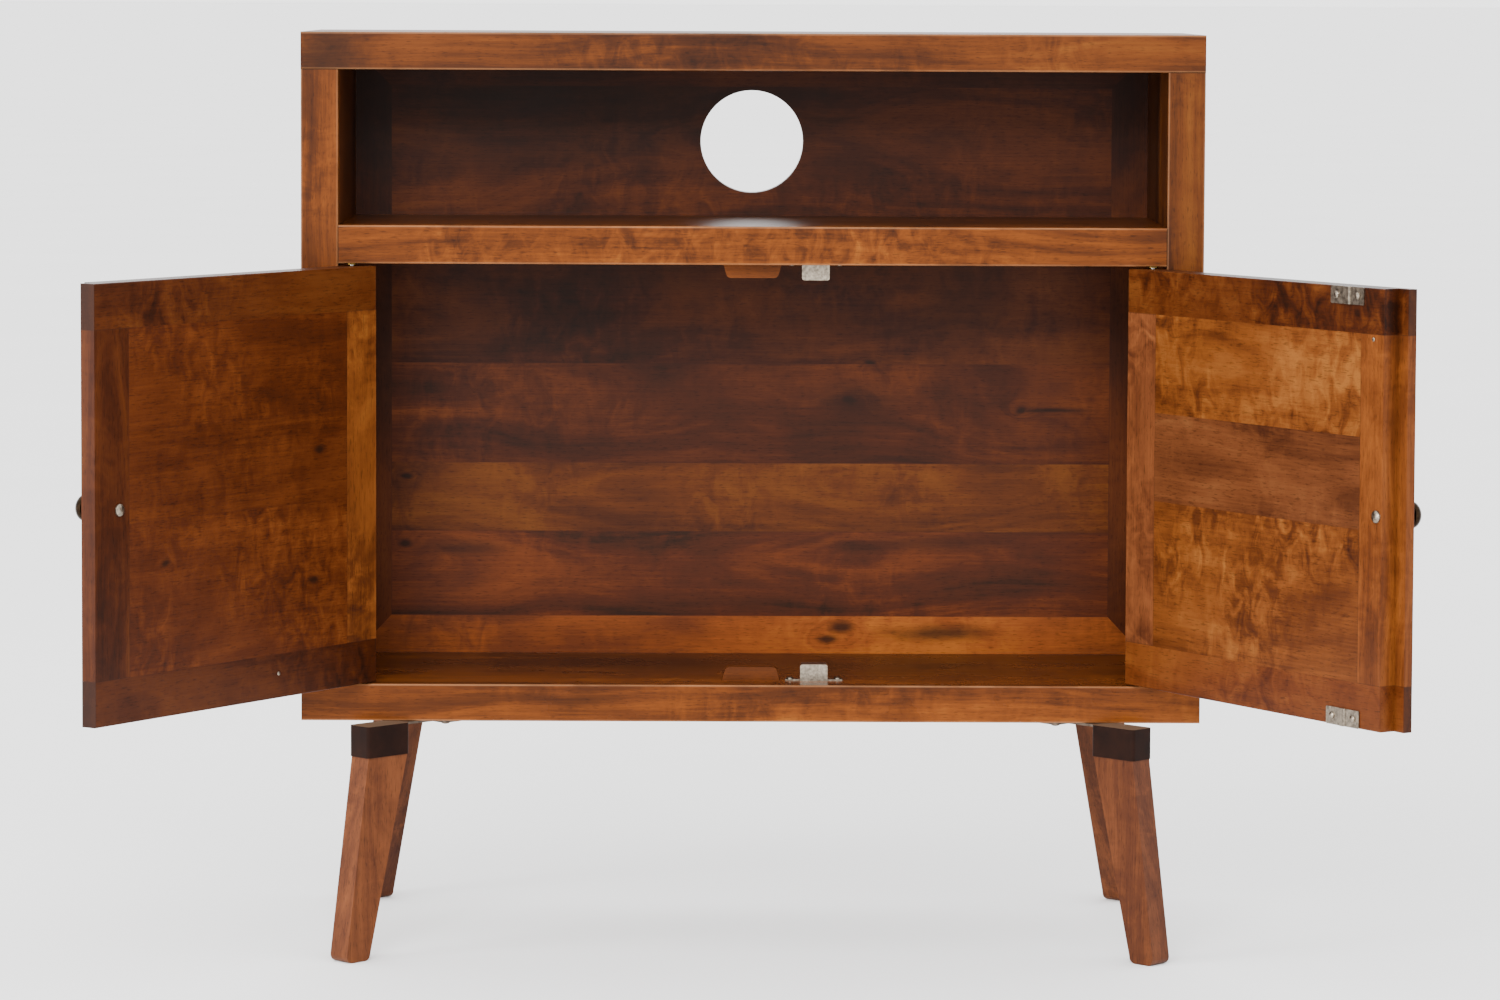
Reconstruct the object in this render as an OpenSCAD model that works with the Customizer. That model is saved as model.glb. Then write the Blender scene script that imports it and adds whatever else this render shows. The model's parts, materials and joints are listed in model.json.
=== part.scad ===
// TV stand with an open bay, two half-lapped doors and four splayed legs.
// The origin is on the floor, midway across, in the plane of the carcass's front edges.
// +X is to the right, +Y towards the back and +Z up.

/* [Carcass] */
// Overall width of the carcass
body_w = 750; // [600:1:900]
// Depth of the carcass from front to back
body_d = 230; // [190:1:320]
// Height of the carcass without its legs
body_h = 574; // [500:1:680]
// Thickness of the top, bottom and side boards
board_t = 31; // [24:0.5:38]
// Thickness of the shelf
shelf_t = 32; // [24:0.5:40]
// Clear height of the open upper bay
upper_bay_h = 129; // [120:1:160]
// Radius of the eased edges of the boards
ease_r = 1.6; // [0.5:0.1:3]

/* [Back panel] */
// Thickness of the back panel
back_t = 18; // [12:0.5:24]
// How far the back panel sits in from the carcass's rear edges
back_inset = 1.5; // [0:0.5:6]
// Width of the back frame's stiles and top rail
back_stile_w = 31; // [25:1:45]
// Width of the back frame's bottom rail
back_bottom_rail_w = 33; // [25:1:45]
// Depth of the rabbet in the top board that takes the back frame
back_rabbet = 14; // [6:0.5:18]
// Height of the lowest back plank
back_plank_1_h = 74; // [60:1:90]
// Height of the second back plank
back_plank_2_h = 60; // [50:1:75]
// Height of the third back plank
back_plank_3_h = 87; // [70:1:105]
// Height of the top back plank, which holds the cable hole
back_plank_5_h = 131; // [120:1:160]
// Diameter of the cable hole
cable_hole_d = 89; // [60:1:105]

/* [Doors] */
// Thickness of the doors
door_t = 23; // [19:0.5:28]
// How far a closed door's outer face sits behind the carcass's front edges
door_inset = 1; // [0:0.25:3]
// Gap under a door
door_gap_bottom = 1.5; // [1.4:0.1:3]
// Gap over a door
door_gap_top = 2; // [1.4:0.1:3]
// Gap between a door's hinge edge and the side board
door_gap_hinge = 1.5; // [1:0.1:3]
// Gap between the two doors' inner faces where they meet
door_gap_meeting = 2; // [1.5:0.1:4]
// Distance of that gap's middle to the right of the carcass's middle
meeting_x = 7; // [0:0.5:10]
// Height of the doors' top and bottom rails
door_rail_h = 36; // [28:1:50]
// Width of the doors' hinge stiles
hinge_stile_w = 38; // [30:1:50]
// Width of the doors' free stiles, with the lip on the right one
free_stile_w = 40; // [38:1:60]
// Height of the doors' lowest plank
door_plank_1_h = 121; // [90:1:140]
// Height of the doors' middle plank
door_plank_2_h = 73; // [55:1:90]
// Width of the right door's lip over the left door
lip_w = 12; // [10:0.5:16]
// Thickness of that lip
lip_t = 8.5; // [7:0.5:10]
// Gap around the lip, beside it and behind it
lip_gap = 0.5; // [0.3:0.1:2]
// Extra width of the left door's recess beyond the lip
lip_side_gap = 2; // [1:0.1:3]
// Chamfer on the front corner of a door's hinge edge
hinge_chamfer = 1; // [0.5:0.1:2]
// How far open the left door stands, in degrees
left_open = 125; // [0:0.5:125]
// How far open the right door stands, in degrees
right_open = 122; // [0:0.5:125]

/* [Pivots] */
// Distance of a pivot pin from the side board's inner face
pivot_from_side = 11; // [10.5:0.1:14]
// Distance of a pivot pin behind the carcass's front edges
pivot_from_front = 6; // [5.5:0.1:8]
// Diameter of the pivot pins
pin_d = 4; // [3:0.1:5]
// Length of a pin inside the door
pin_in_door = 12; // [8:0.5:20]
// Length of a pin inside its bush
pin_in_bush = 9.5; // [6:0.5:14]
// Radial running clearance between pin and bush
pin_clearance = 0.05; // [0.02:0.01:0.1]
// Outer diameter of a bush
bush_d = 7; // [6:0.1:9]
// Diameter of a bush's flange
bush_flange_d = 9; // [7.5:0.1:10]
// Thickness of a bush's flange
bush_flange_t = 1; // [0.6:0.1:1.2]
// Free depth of the bush hole beyond the pin's end
bush_end_gap = 0.5; // [0.2:0.1:2]

/* [Door stops] */
// Width of a door stop where it meets its board
stop_base_w = 49; // [30:1:70]
// Width of a door stop at its free edge
stop_top_w = 42; // [24:1:64]
// Height of a door stop
stop_h = 12; // [8:0.5:18]
// Depth of a door stop from front to back
stop_d = 18; // [10:0.5:30]
// Gap between the closed doors and the stops
stop_gap = 0.3; // [0.2:0.1:1]
// Radius of a door stop's free corners
stop_r = 4; // [1:0.5:6]

/* [Catches] */
// Distance of the catches from the middle of the carcass
catch_x = 53; // [40:1:80]
// Width of a catch's case
catch_w = 23; // [16:0.5:32]
// Height of a catch's case
catch_h = 14; // [10:0.5:18]
// Depth of a catch's case
catch_d = 16; // [10:0.5:24]
// Radius of the case's free corners, no more than its sheet bends
catch_r = 2; // [1:0.1:2.5]
// Depth of the case's screw ears
catch_ear_d = 8; // [7:0.5:9]
// Gap between a catch and the proudest point of its closed strike
catch_gap = 0.4; // [0.3:0.1:1]
// Sheet thickness of catches and strikes
sheet_t = 1; // [0.6:0.1:1.6]
// Distance between the two screws of a catch
catch_screw_pitch = 40; // [34:0.5:50]
// Length of the catch's foot plate
catch_foot_w = 48; // [44:0.5:60]
// Width of a strike plate
strike_w = 41; // [30:0.5:50]
// Height of a strike plate
strike_h = 14; // [10:0.5:18]
// Width of the raised rib in the middle of a strike
strike_rib_w = 7; // [4:0.5:12]
// Height of that rib above the plate
strike_rib_t = 1.2; // [0.5:0.1:2]
// Distance between the two screws of a strike
strike_screw_pitch = 26; // [20:0.5:30]
// Head diameter of the catch and strike screws
small_head_d = 6; // [4:0.5:8]
// Head height of the catch and strike screws
small_head_h = 1.8; // [1:0.1:2.5]
// Shank diameter of the catch and strike screws
small_shank_d = 3; // [2:0.1:3.5]
// Length of those screws in the wood
small_shank_l = 10; // [8:0.5:14]

/* [Knobs] */
// Diameter of a knob
knob_d = 22; // [16:0.5:30]
// Projection of a knob from the door
knob_p = 18; // [12:0.5:24]
// Diameter of a knob's neck
knob_neck_d = 10; // [8:0.5:14]
// Diameter of a knob's foot
knob_foot_d = 14; // [10:0.5:20]
// Height of the knobs above the doors' bottom edges
knob_z = 169; // [120:1:220]
// Distance of the left knob from the left door's inner free edge
left_knob_from_edge = 28.5; // [26:0.5:40]
// Distance of the right knob from the right door's inner free edge
right_knob_from_edge = 7; // [6:0.5:16]
// Head diameter of a knob screw
knob_screw_head_d = 10; // [7:0.5:12]
// Head height of a knob screw
knob_screw_head_h = 2.4; // [1.5:0.1:4]
// Shank diameter of a knob screw
knob_screw_d = 4; // [3:0.1:5]
// Length of a knob screw inside the knob
knob_screw_in = 8; // [5:0.5:9]

/* [Panel pins] */
// Head diameter of the small panel pins in the doors
brad_head_d = 3.4; // [2:0.1:5]
// Head height of the small panel pins
brad_head_h = 0.6; // [0.3:0.1:1]
// Distance of the right door's panel pin from that door's inner free edge
right_brad_from_edge = 13; // [8:0.5:20]
// Distance of the left door's panel pin from that door's inner free edge
left_brad_from_edge = 222; // [200:1:240]
// Height of the left door's panel pin above the door's bottom edge
left_brad_z = 20; // [10:1:26]
// Distance of the right door's panel pin below its top rail
right_brad_drop = 4; // [3:0.5:12]
// Shank diameter of the small panel pins
brad_shank_d = 1.4; // [1:0.1:2]
// Length of the small panel pins in the wood
brad_shank_l = 12; // [8:0.5:15]

/* [Legs] */
// Height of the legs from the floor to the carcass
leg_h = 195; // [120:1:260]
// Length of a leg's block along its diagonal, over the sleeve
leg_block_l = 45.8; // [36:0.1:60]
// Thickness of a leg's block across its diagonal, over the sleeve
leg_block_t = 24; // [18:0.5:32]
// Distance of a leg block's centre from the carcass's side
leg_from_side = 66.4; // [50:0.1:100]
// Distance of a leg block's centre outside the carcass's front or back
leg_out = 17; // [5:0.1:18]
// Height over which a leg is vertical, inside its sleeve
leg_straight_h = 26; // [18:0.5:40]
// How far the foot stands out beyond the block's outer end
foot_splay = 22; // [10:0.5:40]
// Width of the foot along the leg's diagonal
foot_w = 25.4; // [18:0.1:40]
// Radius at the foot's outer corners
foot_r = 6; // [1:0.5:8]
// Wall of the steel sleeve
sleeve_t = 1.5; // [1:0.1:2.5]
// Corner radius of the sleeve
sleeve_r = 3; // [1.5:0.5:5]
// Thickness of a leg's mounting plate
plate_t = 2; // [1.5:0.1:4]
// Side of the plate's square pad under the carcass
pad_w = 48; // [36:1:60]
// Distance of the pad's centre from the leg block's outer end
pad_from_end = 98; // [90:1:120]
// Distance between the pad's screws
pad_screw_pitch = 30; // [22:0.5:40]
// Head diameter of the plate screws
plate_head_d = 8; // [6:0.5:10]
// Head height of the plate screws
plate_head_h = 2.4; // [1.5:0.1:4]
// Shank diameter of the plate screws
plate_shank_d = 4; // [3:0.1:5]
// Length of the plate screws in the wood
plate_shank_l = 14; // [10:0.5:20]

/* [Hidden] */
$fn = 48;

// Carcass levels and widths
inner_w = body_w - 2 * board_t;
floor_z = leg_h + board_t;
top_z = leg_h + body_h;
ceiling_z = top_z - board_t;
shelf_z = ceiling_z - upper_bay_h;
lower_top_z = shelf_z - shelf_t;
back_y = body_d - back_inset - back_t;

// Back frame and planks
frame_top_z = ceiling_z + back_rabbet;
panel_z = floor_z + back_bottom_rail_w;
panel_top_z = frame_top_z - back_stile_w;
panel_w = inner_w - 2 * back_stile_w;
back_plank_4_h = panel_top_z - panel_z - back_plank_1_h - back_plank_2_h - back_plank_3_h - back_plank_5_h;
back_plank_heights = [back_plank_1_h, back_plank_2_h, back_plank_3_h, back_plank_4_h, back_plank_5_h];
cable_hole_z = shelf_z + upper_bay_h / 2;

// Doors, measured along the width from the hinge edge and inwards from the outer face
left_door_w = inner_w / 2 + meeting_x - door_gap_hinge - door_gap_meeting / 2;
right_door_w = inner_w / 2 - meeting_x - door_gap_hinge - door_gap_meeting / 2;
door_z = floor_z + door_gap_bottom;
door_h = lower_top_z - door_gap_top - door_z;
door_plank_3_h = door_h - 2 * door_rail_h - door_plank_1_h - door_plank_2_h;
door_plank_heights = [door_plank_1_h, door_plank_2_h, door_plank_3_h];
hinge_x = inner_w / 2 - door_gap_hinge;
pivot_x = inner_w / 2 - pivot_from_side;
recess_w = lip_w + lip_side_gap;
recess_t = lip_t + lip_gap;
door_back_y = door_inset + door_t;
door_ease = 1;

// Legs: u runs outwards along the diagonal from the block's outer end
leg_end = leg_block_l / 2;
leg_x = body_w / 2 - leg_from_side;
sleeve_bottom = leg_h - leg_straight_h;
leg_t = leg_block_t - 2 * sleeve_t;
strap_w = leg_block_t - 2 * sleeve_r;

walnut = [0.50, 0.29, 0.15];
amber = [0.58, 0.35, 0.14];
umber = [0.42, 0.24, 0.12];
nickel = [0.76, 0.73, 0.68];
bronze = [0.24, 0.18, 0.12];
blackened = [0.16, 0.12, 0.11];
zinc = [0.66, 0.62, 0.56];
brass = [0.72, 0.58, 0.30];

// Points of an arc from angle a0 to angle a1
function arc(c, r, a0, a1, n = 5) =
    [for (i = [0:n]) c + r * [cos(a0 + (a1 - a0) * i / n), sin(a0 + (a1 - a0) * i / n)]];

// Outline of a rectangle from the origin with all four corners rounded
function round_box(a, b, r) = concat(
    arc([a - r, r], r, -90, 0), arc([a - r, b - r], r, 0, 90),
    arc([r, b - r], r, 90, 180), arc([r, r], r, 180, 270));

// Outline of a round-headed screw or nail for rotate_extrude: shank down, head up
function pan_head(head_d, head_h, shank_d, shank_l) = concat(
    [[0, -shank_l], [shank_d / 2, -shank_l], [shank_d / 2, 0], [head_d / 2, 0]],
    [for (a = [15:15:90]) [head_d / 2 * cos(a), head_h * (0.25 + 0.75 * sin(a))]]);

// A board along X from x0 to x1, with eased long edges
module board_x(x0, x1, y, z, d, t) {
    translate([x0, y, z]) rotate([90, 0, 90]) linear_extrude(x1 - x0) polygon(round_box(d, t, ease_r));
}

// A board along Z, with eased long edges
module board_z(x, y, z0, z1, w, d) {
    translate([x, y, z0]) linear_extrude(z1 - z0) polygon(round_box(w, d, ease_r));
}

module screw(head_d, head_h, shank_d, shank_l) {
    rotate_extrude() polygon(pan_head(head_d, head_h, shank_d, shank_l));
}

// Places its children at both pivots of both doors: floor side up, ceiling side down
module at_pivots(side) {
    for (s = side) {
        translate([s * pivot_x, pivot_from_front, floor_z]) children();
        translate([s * pivot_x, pivot_from_front, lower_top_z]) mirror([0, 0, 1]) children();
    }
}

module bush_holes() {
    at_pivots([-1, 1]) translate([0, 0, -pin_in_bush - bush_end_gap])
        cylinder(d = bush_d, h = pin_in_bush + bush_end_gap + 1);
}

module small_screw_holes() {
    at_catches() at_catch_screws() translate([0, 0, -small_shank_l])
        cylinder(d = small_shank_d, h = small_shank_l + 1);
}

// --- Carcass ---------------------------------------------------------------

module top_board() {
    color(walnut) difference() {
        board_x(-body_w / 2, body_w / 2, 0, ceiling_z, body_d, board_t);
        translate([-inner_w / 2, back_y, ceiling_z - 1])
            cube([inner_w, body_d, back_rabbet + 1]);
    }
}

module bottom_board() {
    color(walnut) difference() {
        board_x(-body_w / 2, body_w / 2, 0, leg_h, body_d, board_t);
        bush_holes();
        small_screw_holes();
        at_legs() at_pad_screws() translate([0, 0, -1])
            cylinder(d = plate_shank_d, h = plate_shank_l + 1);
    }
}

module left_side() {
    color(walnut) board_z(-body_w / 2, 0, floor_z, ceiling_z, board_t, body_d);
}

module right_side() {
    color(amber) board_z(body_w / 2 - board_t, 0, floor_z, ceiling_z, board_t, body_d);
}

module shelf_board() {
    color(walnut) difference() {
        board_x(-inner_w / 2, inner_w / 2, 0, lower_top_z, back_y, shelf_t);
        bush_holes();
        small_screw_holes();
    }
}

// --- Back panel ------------------------------------------------------------

// One member of the mitred back frame, from its outline in X and Z
module back_member(points) {
    translate([0, back_y + back_t, 0]) rotate([90, 0, 0]) linear_extrude(back_t) polygon(points);
}

module back_top_rail() {
    color(umber) back_member([[-inner_w / 2, frame_top_z], [inner_w / 2, frame_top_z],
        [panel_w / 2, panel_top_z], [-panel_w / 2, panel_top_z]]);
}

module back_bottom_rail() {
    color(umber) back_member([[-inner_w / 2, floor_z], [inner_w / 2, floor_z],
        [panel_w / 2, panel_z], [-panel_w / 2, panel_z]]);
}

module back_stile(side) {
    back_member([[side * inner_w / 2, floor_z], [side * inner_w / 2, frame_top_z],
        [side * panel_w / 2, panel_top_z], [side * panel_w / 2, panel_z]]);
}

module back_left_stile() {
    color(umber) back_stile(-1);
}

module back_right_stile() {
    color(umber) back_stile(1);
}

// Height of plank i's lower edge above the first plank's
function stacked(heights, i) = i == 0 ? 0 : heights[i - 1] + stacked(heights, i - 1);

module back_plank(i) {
    translate([-panel_w / 2, back_y, panel_z + stacked(back_plank_heights, i)])
        cube([panel_w, back_t, back_plank_heights[i]]);
}

module back_plank_1() {
    color(walnut) back_plank(0);
}

module back_plank_2() {
    color(amber) back_plank(1);
}

module back_plank_3() {
    color(walnut) back_plank(2);
}

module back_plank_4() {
    color(umber) back_plank(3);
}

module back_plank_5() {
    color(walnut) difference() {
        back_plank(4);
        translate([0, back_y - 1, cable_hole_z]) rotate([-90, 0, 0])
            cylinder(d = cable_hole_d, h = back_t + 2);
    }
}

// --- Door stops ------------------------------------------------------------

// A block with sloping ends and rounded free corners, standing on z = 0
module door_stop() {
    slope = (stop_base_w - stop_top_w) / 2;
    lean = atan(slope / stop_h);
    reach = stop_r * tan((90 - lean) / 2);
    translate([0, stop_d, 0]) rotate([90, 0, 0]) linear_extrude(stop_d) polygon(concat(
        [[-stop_base_w / 2, 0], [stop_base_w / 2, 0]],
        arc([stop_top_w / 2 - reach, stop_h - stop_r], stop_r, lean, 90),
        arc([-stop_top_w / 2 + reach, stop_h - stop_r], stop_r, 90, 180 - lean)));
}

module lower_door_stop() {
    color(walnut) translate([0, door_back_y + stop_gap, floor_z]) door_stop();
}

module upper_door_stop() {
    color(walnut) translate([0, door_back_y + stop_gap, lower_top_z]) mirror([0, 0, 1]) door_stop();
}

// --- Catches ---------------------------------------------------------------

// Places its children on the floor and, upside down, under the shelf
module at_catches() {
    catch_y = door_back_y + sheet_t + max(strike_rib_t, small_head_h) + catch_gap;
    translate([catch_x, catch_y, floor_z]) children();
    translate([catch_x, catch_y, lower_top_z]) mirror([0, 0, 1]) children();
}

module at_catch_screws() {
    for (s = [-1, 1]) translate([s * catch_screw_pitch / 2, catch_d / 2, 0]) children();
}

// A bent sheet cover, open towards its board, with two screw ears
module catch_case() {
    difference() {
        union() {
            translate([-catch_w / 2, catch_d, 0]) rotate([90, 0, 0])
                linear_extrude(catch_d) polygon(concat([[0, 0], [catch_w, 0]],
                    arc([catch_w - catch_r, catch_h - catch_r], catch_r, 0, 90),
                    arc([catch_r, catch_h - catch_r], catch_r, 90, 180)));
            translate([-catch_foot_w / 2, (catch_d - catch_ear_d) / 2, 0])
                cube([catch_foot_w, catch_ear_d, sheet_t]);
        }
        translate([-catch_w / 2 + sheet_t, sheet_t, -1])
            cube([catch_w - 2 * sheet_t, catch_d - 2 * sheet_t, catch_h - sheet_t + 1]);
        at_catch_screws() translate([0, 0, -1]) cylinder(d = small_shank_d, h = sheet_t + 2);
    }
}

module catch_cases() {
    color(nickel) at_catches() catch_case();
}

// The magnet with its steel cheeks, filling the case down to the board
module catch_magnets() {
    color(blackened) at_catches() translate([-catch_w / 2 + sheet_t, sheet_t, 0])
        cube([catch_w - 2 * sheet_t, catch_d - 2 * sheet_t, catch_h - sheet_t]);
}

module catch_screws() {
    color(nickel) at_catches() at_catch_screws() translate([0, 0, sheet_t])
        screw(small_head_d, small_head_h, small_shank_d, small_shank_l + sheet_t);
}

// --- Pivots ----------------------------------------------------------------

// A flanged bush whose flange lies on the board
module bush() {
    difference() {
        union() {
            translate([0, 0, -pin_in_bush - bush_end_gap])
                cylinder(d = bush_d, h = pin_in_bush + bush_end_gap);
            cylinder(d = bush_flange_d, h = bush_flange_t);
        }
        translate([0, 0, -pin_in_bush - bush_end_gap - 1])
            cylinder(d = pin_d + 2 * pin_clearance, h = pin_in_bush + bush_end_gap + bush_flange_t + 2);
    }
}

module pivot_bushes() {
    color(brass) at_pivots([-1, 1]) bush();
}

// A pin from its bush up into the door, across the gap between them
module pivot_pin(gap) {
    translate([0, 0, -pin_in_bush]) cylinder(d = pin_d, h = pin_in_bush + gap + pin_in_door);
}

module pivot_pins(side) {
    translate([side * pivot_x, pivot_from_front, floor_z]) pivot_pin(door_gap_bottom);
    translate([side * pivot_x, pivot_from_front, lower_top_z]) mirror([0, 0, 1]) pivot_pin(door_gap_top);
}

// --- Doors -----------------------------------------------------------------

// Turns the closed left door about its pivots
module swing_left() {
    translate([-pivot_x, pivot_from_front, 0]) rotate([0, 0, -left_open])
        translate([pivot_x, -pivot_from_front, 0]) children();
}

// Turns the closed right door about its pivots
module swing_right() {
    translate([pivot_x, pivot_from_front, 0]) rotate([0, 0, right_open])
        translate([-pivot_x, -pivot_from_front, 0]) children();
}

// Plan outlines, from the hinge edge along the door and from the outer face inwards
hinge_edge = concat(
    [[0, door_t]], [[0, hinge_chamfer], [hinge_chamfer, 0]]);
lipped_edge = concat(
    arc([right_door_w + lip_w - door_ease, door_ease], door_ease, -90, 0),
    [[right_door_w + lip_w, lip_t], [right_door_w, lip_t]],
    [[right_door_w, door_t]]);
recessed_edge = concat(
    arc([left_door_w - recess_w - door_ease, door_ease], door_ease, -90, 0),
    [[left_door_w - recess_w, recess_t], [left_door_w, recess_t]],
    [[left_door_w, door_t]]);

// Places a door's own outline in the closed doorway: side is -1 for left, 1 for right
module on_door(side) {
    translate([side * hinge_x, door_inset, door_z]) mirror([side > 0 ? 1 : 0, 0, 0]) children();
}

// A full-width rail, with its outer long edges eased
module door_rail(free_edge, top) {
    eased = top
        ? concat([[0, 0], [door_t, 0]],
            arc([door_t - door_ease, door_rail_h - door_ease], door_ease, 0, 90),
            arc([door_ease, door_rail_h - door_ease], door_ease, 90, 180))
        : concat([[door_t, door_rail_h], [0, door_rail_h]],
            arc([door_ease, door_ease], door_ease, 180, 270),
            arc([door_t - door_ease, door_ease], door_ease, 270, 360));
    translate([0, 0, top ? door_h - door_rail_h : 0]) intersection() {
        linear_extrude(door_rail_h) polygon(concat(hinge_edge, free_edge));
        translate([-1, 0, 0]) rotate([90, 0, 90]) linear_extrude(inner_w) polygon(eased);
    }
}

module door_stile_extrusion(points) {
    translate([0, 0, door_rail_h]) linear_extrude(door_h - 2 * door_rail_h) polygon(points);
}

module door_hinge_stile() {
    door_stile_extrusion(concat(hinge_edge, [[hinge_stile_w, 0], [hinge_stile_w, door_t]]));
}

// The free stile starts where the planks end
module door_free_stile(free_edge, start) {
    door_stile_extrusion(concat([[start, door_t], [start, 0]], free_edge));
}

module door_plank(i, end) {
    translate([hinge_stile_w, 0, door_rail_h + stacked(door_plank_heights, i)])
        cube([end - hinge_stile_w, door_t, door_plank_heights[i]]);
}

left_panel_end = left_door_w - free_stile_w;
right_panel_end = right_door_w + lip_w - free_stile_w;

// Bores for the pins in a rail, taken out of the closed door
module pin_bores(side) {
    translate([side * pivot_x, pivot_from_front, door_z - 1]) cylinder(d = pin_d, h = pin_in_door + 1);
    translate([side * pivot_x, pivot_from_front, door_z + door_h - pin_in_door])
        cylinder(d = pin_d, h = pin_in_door + 1);
}

module strike_screw_holes() {
    at_strikes() at_strike_screws() rotate([-90, 0, 0]) cylinder(d = small_shank_d, h = small_shank_l);
}

module left_top_rail() {
    color(amber) swing_left() difference() {
        on_door(-1) door_rail(recessed_edge, true);
        pin_bores(-1);
    }
}

module left_bottom_rail() {
    color(walnut) swing_left() difference() {
        on_door(-1) door_rail(recessed_edge, false);
        pin_bores(-1);
        at_left_brad() brad_hole();
    }
}

module left_hinge_stile() {
    color(amber) swing_left() on_door(-1) door_hinge_stile();
}

module left_free_stile() {
    color(umber) swing_left() difference() {
        on_door(-1) door_free_stile(recessed_edge, left_panel_end);
        knob_bore(-1, left_knob_from_edge);
    }
}

module left_plank_1() {
    color(walnut) swing_left() on_door(-1) door_plank(0, left_panel_end);
}

module left_plank_2() {
    color(amber) swing_left() on_door(-1) door_plank(1, left_panel_end);
}

module left_plank_3() {
    color(umber) swing_left() on_door(-1) door_plank(2, left_panel_end);
}

module right_top_rail() {
    color(walnut) swing_right() difference() {
        on_door(1) door_rail(lipped_edge, true);
        pin_bores(1);
        strike_screw_holes();
    }
}

module right_bottom_rail() {
    color(walnut) swing_right() difference() {
        on_door(1) door_rail(lipped_edge, false);
        pin_bores(1);
        strike_screw_holes();
    }
}

module right_hinge_stile() {
    color(amber) swing_right() on_door(1) door_hinge_stile();
}

module right_free_stile() {
    color(walnut) swing_right() difference() {
        on_door(1) door_free_stile(lipped_edge, right_panel_end);
        knob_bore(1, right_knob_from_edge);
        at_right_brad() brad_hole();
    }
}

module right_plank_1() {
    color(amber) swing_right() on_door(1) door_plank(0, right_panel_end);
}

module right_plank_2() {
    color(umber) swing_right() on_door(1) door_plank(1, right_panel_end);
}

module right_plank_3() {
    color(amber) swing_right() on_door(1) door_plank(2, right_panel_end);
}

module left_pivot_pins() {
    color(nickel) swing_left() pivot_pins(-1);
}

module right_pivot_pins() {
    color(nickel) swing_right() pivot_pins(1);
}

// --- Knobs -----------------------------------------------------------------

// Places its children on a door's outer face, with +Z pointing out of it
module at_knob(side, from_edge) {
    translate([meeting_x + side * (door_gap_meeting / 2 + from_edge), door_inset, door_z + knob_z])
        rotate([90, 0, 0]) children();
}

module knob_bore(side, from_edge) {
    at_knob(side, from_edge) translate([0, 0, -door_t - 1]) cylinder(d = knob_screw_d, h = door_t + 2);
}

// A mushroom knob, turned about its own axis
module knob() {
    difference() {
        rotate_extrude() polygon(concat(
            [[0, 0], [knob_foot_d / 2, 0], [knob_foot_d / 2, knob_p * 0.1]],
            [[knob_neck_d / 2, knob_p * 0.3], [knob_neck_d / 2, knob_p * 0.45]],
            [for (a = [-20:14:90]) [knob_d / 2 * cos(a), knob_p * (0.62 + 0.38 * sin(a))]],
            [[0, knob_p]]));
        translate([0, 0, -1]) cylinder(d = knob_screw_d, h = knob_screw_in + 1);
    }
}

module knob_screw() {
    translate([0, 0, -door_t]) mirror([0, 0, 1])
        screw(knob_screw_head_d, knob_screw_head_h, knob_screw_d, door_t + knob_screw_in);
}

module left_knob() {
    color(bronze) swing_left() at_knob(-1, left_knob_from_edge) knob();
}

module right_knob() {
    color(bronze) swing_right() at_knob(1, right_knob_from_edge) knob();
}

module left_knob_screw() {
    color(nickel) swing_left() at_knob(-1, left_knob_from_edge) knob_screw();
}

module right_knob_screw() {
    color(nickel) swing_right() at_knob(1, right_knob_from_edge) knob_screw();
}

// --- Panel pins ------------------------------------------------------------

// Places its children on the left door's inner face, in the bottom rail
module at_left_brad() {
    translate([meeting_x - door_gap_meeting / 2 - left_brad_from_edge, door_back_y, door_z + left_brad_z])
        rotate([-90, 0, 0]) children();
}

// Places its children on the right door's inner face, at the free stile's top
module at_right_brad() {
    translate([meeting_x + door_gap_meeting / 2 + right_brad_from_edge, door_back_y,
        door_z + door_h - door_rail_h - right_brad_drop])
        rotate([-90, 0, 0]) children();
}

module brad_hole() {
    translate([0, 0, -brad_shank_l]) cylinder(d = brad_shank_d, h = brad_shank_l + 1);
}

module brad() {
    screw(brad_head_d, brad_head_h, brad_shank_d, brad_shank_l);
}

module left_panel_pin() {
    color(nickel) swing_left() at_left_brad() brad();
}

module right_panel_pin() {
    color(nickel) swing_right() at_right_brad() brad();
}

// --- Strikes ---------------------------------------------------------------

// Places its children on the closed right door's inner face, at its bottom and top edges
module at_strikes() {
    for (z = [door_z, door_z + door_h - strike_h])
        translate([catch_x, door_back_y, z]) children();
}

module at_strike_screws() {
    for (s = [-1, 1]) translate([s * strike_screw_pitch / 2, -small_shank_l, strike_h / 2]) children();
}

// A flat plate with a raised rib that the magnet holds
module strike_plate() {
    difference() {
        union() {
            translate([-strike_w / 2, sheet_t, 0]) rotate([90, 0, 0])
                linear_extrude(sheet_t) polygon(round_box(strike_w, strike_h, 1));
            translate([-strike_rib_w / 2, 0, 0]) linear_extrude(strike_h) polygon(
                [[0, sheet_t / 2], [strike_rib_w, sheet_t / 2], [strike_rib_w - 1, sheet_t + strike_rib_t],
                [1, sheet_t + strike_rib_t]]);
        }
        at_strike_screws() rotate([-90, 0, 0]) cylinder(d = small_shank_d, h = small_shank_l + sheet_t + 1);
    }
}

module strike_plates() {
    color(nickel) swing_right() at_strikes() strike_plate();
}

module strike_screws() {
    color(nickel) swing_right() at_strikes() at_strike_screws()
        translate([0, small_shank_l + sheet_t, 0]) rotate([-90, 0, 0])
            screw(small_head_d, small_head_h, small_shank_d, small_shank_l + sheet_t);
}

// --- Legs ------------------------------------------------------------------

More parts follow.
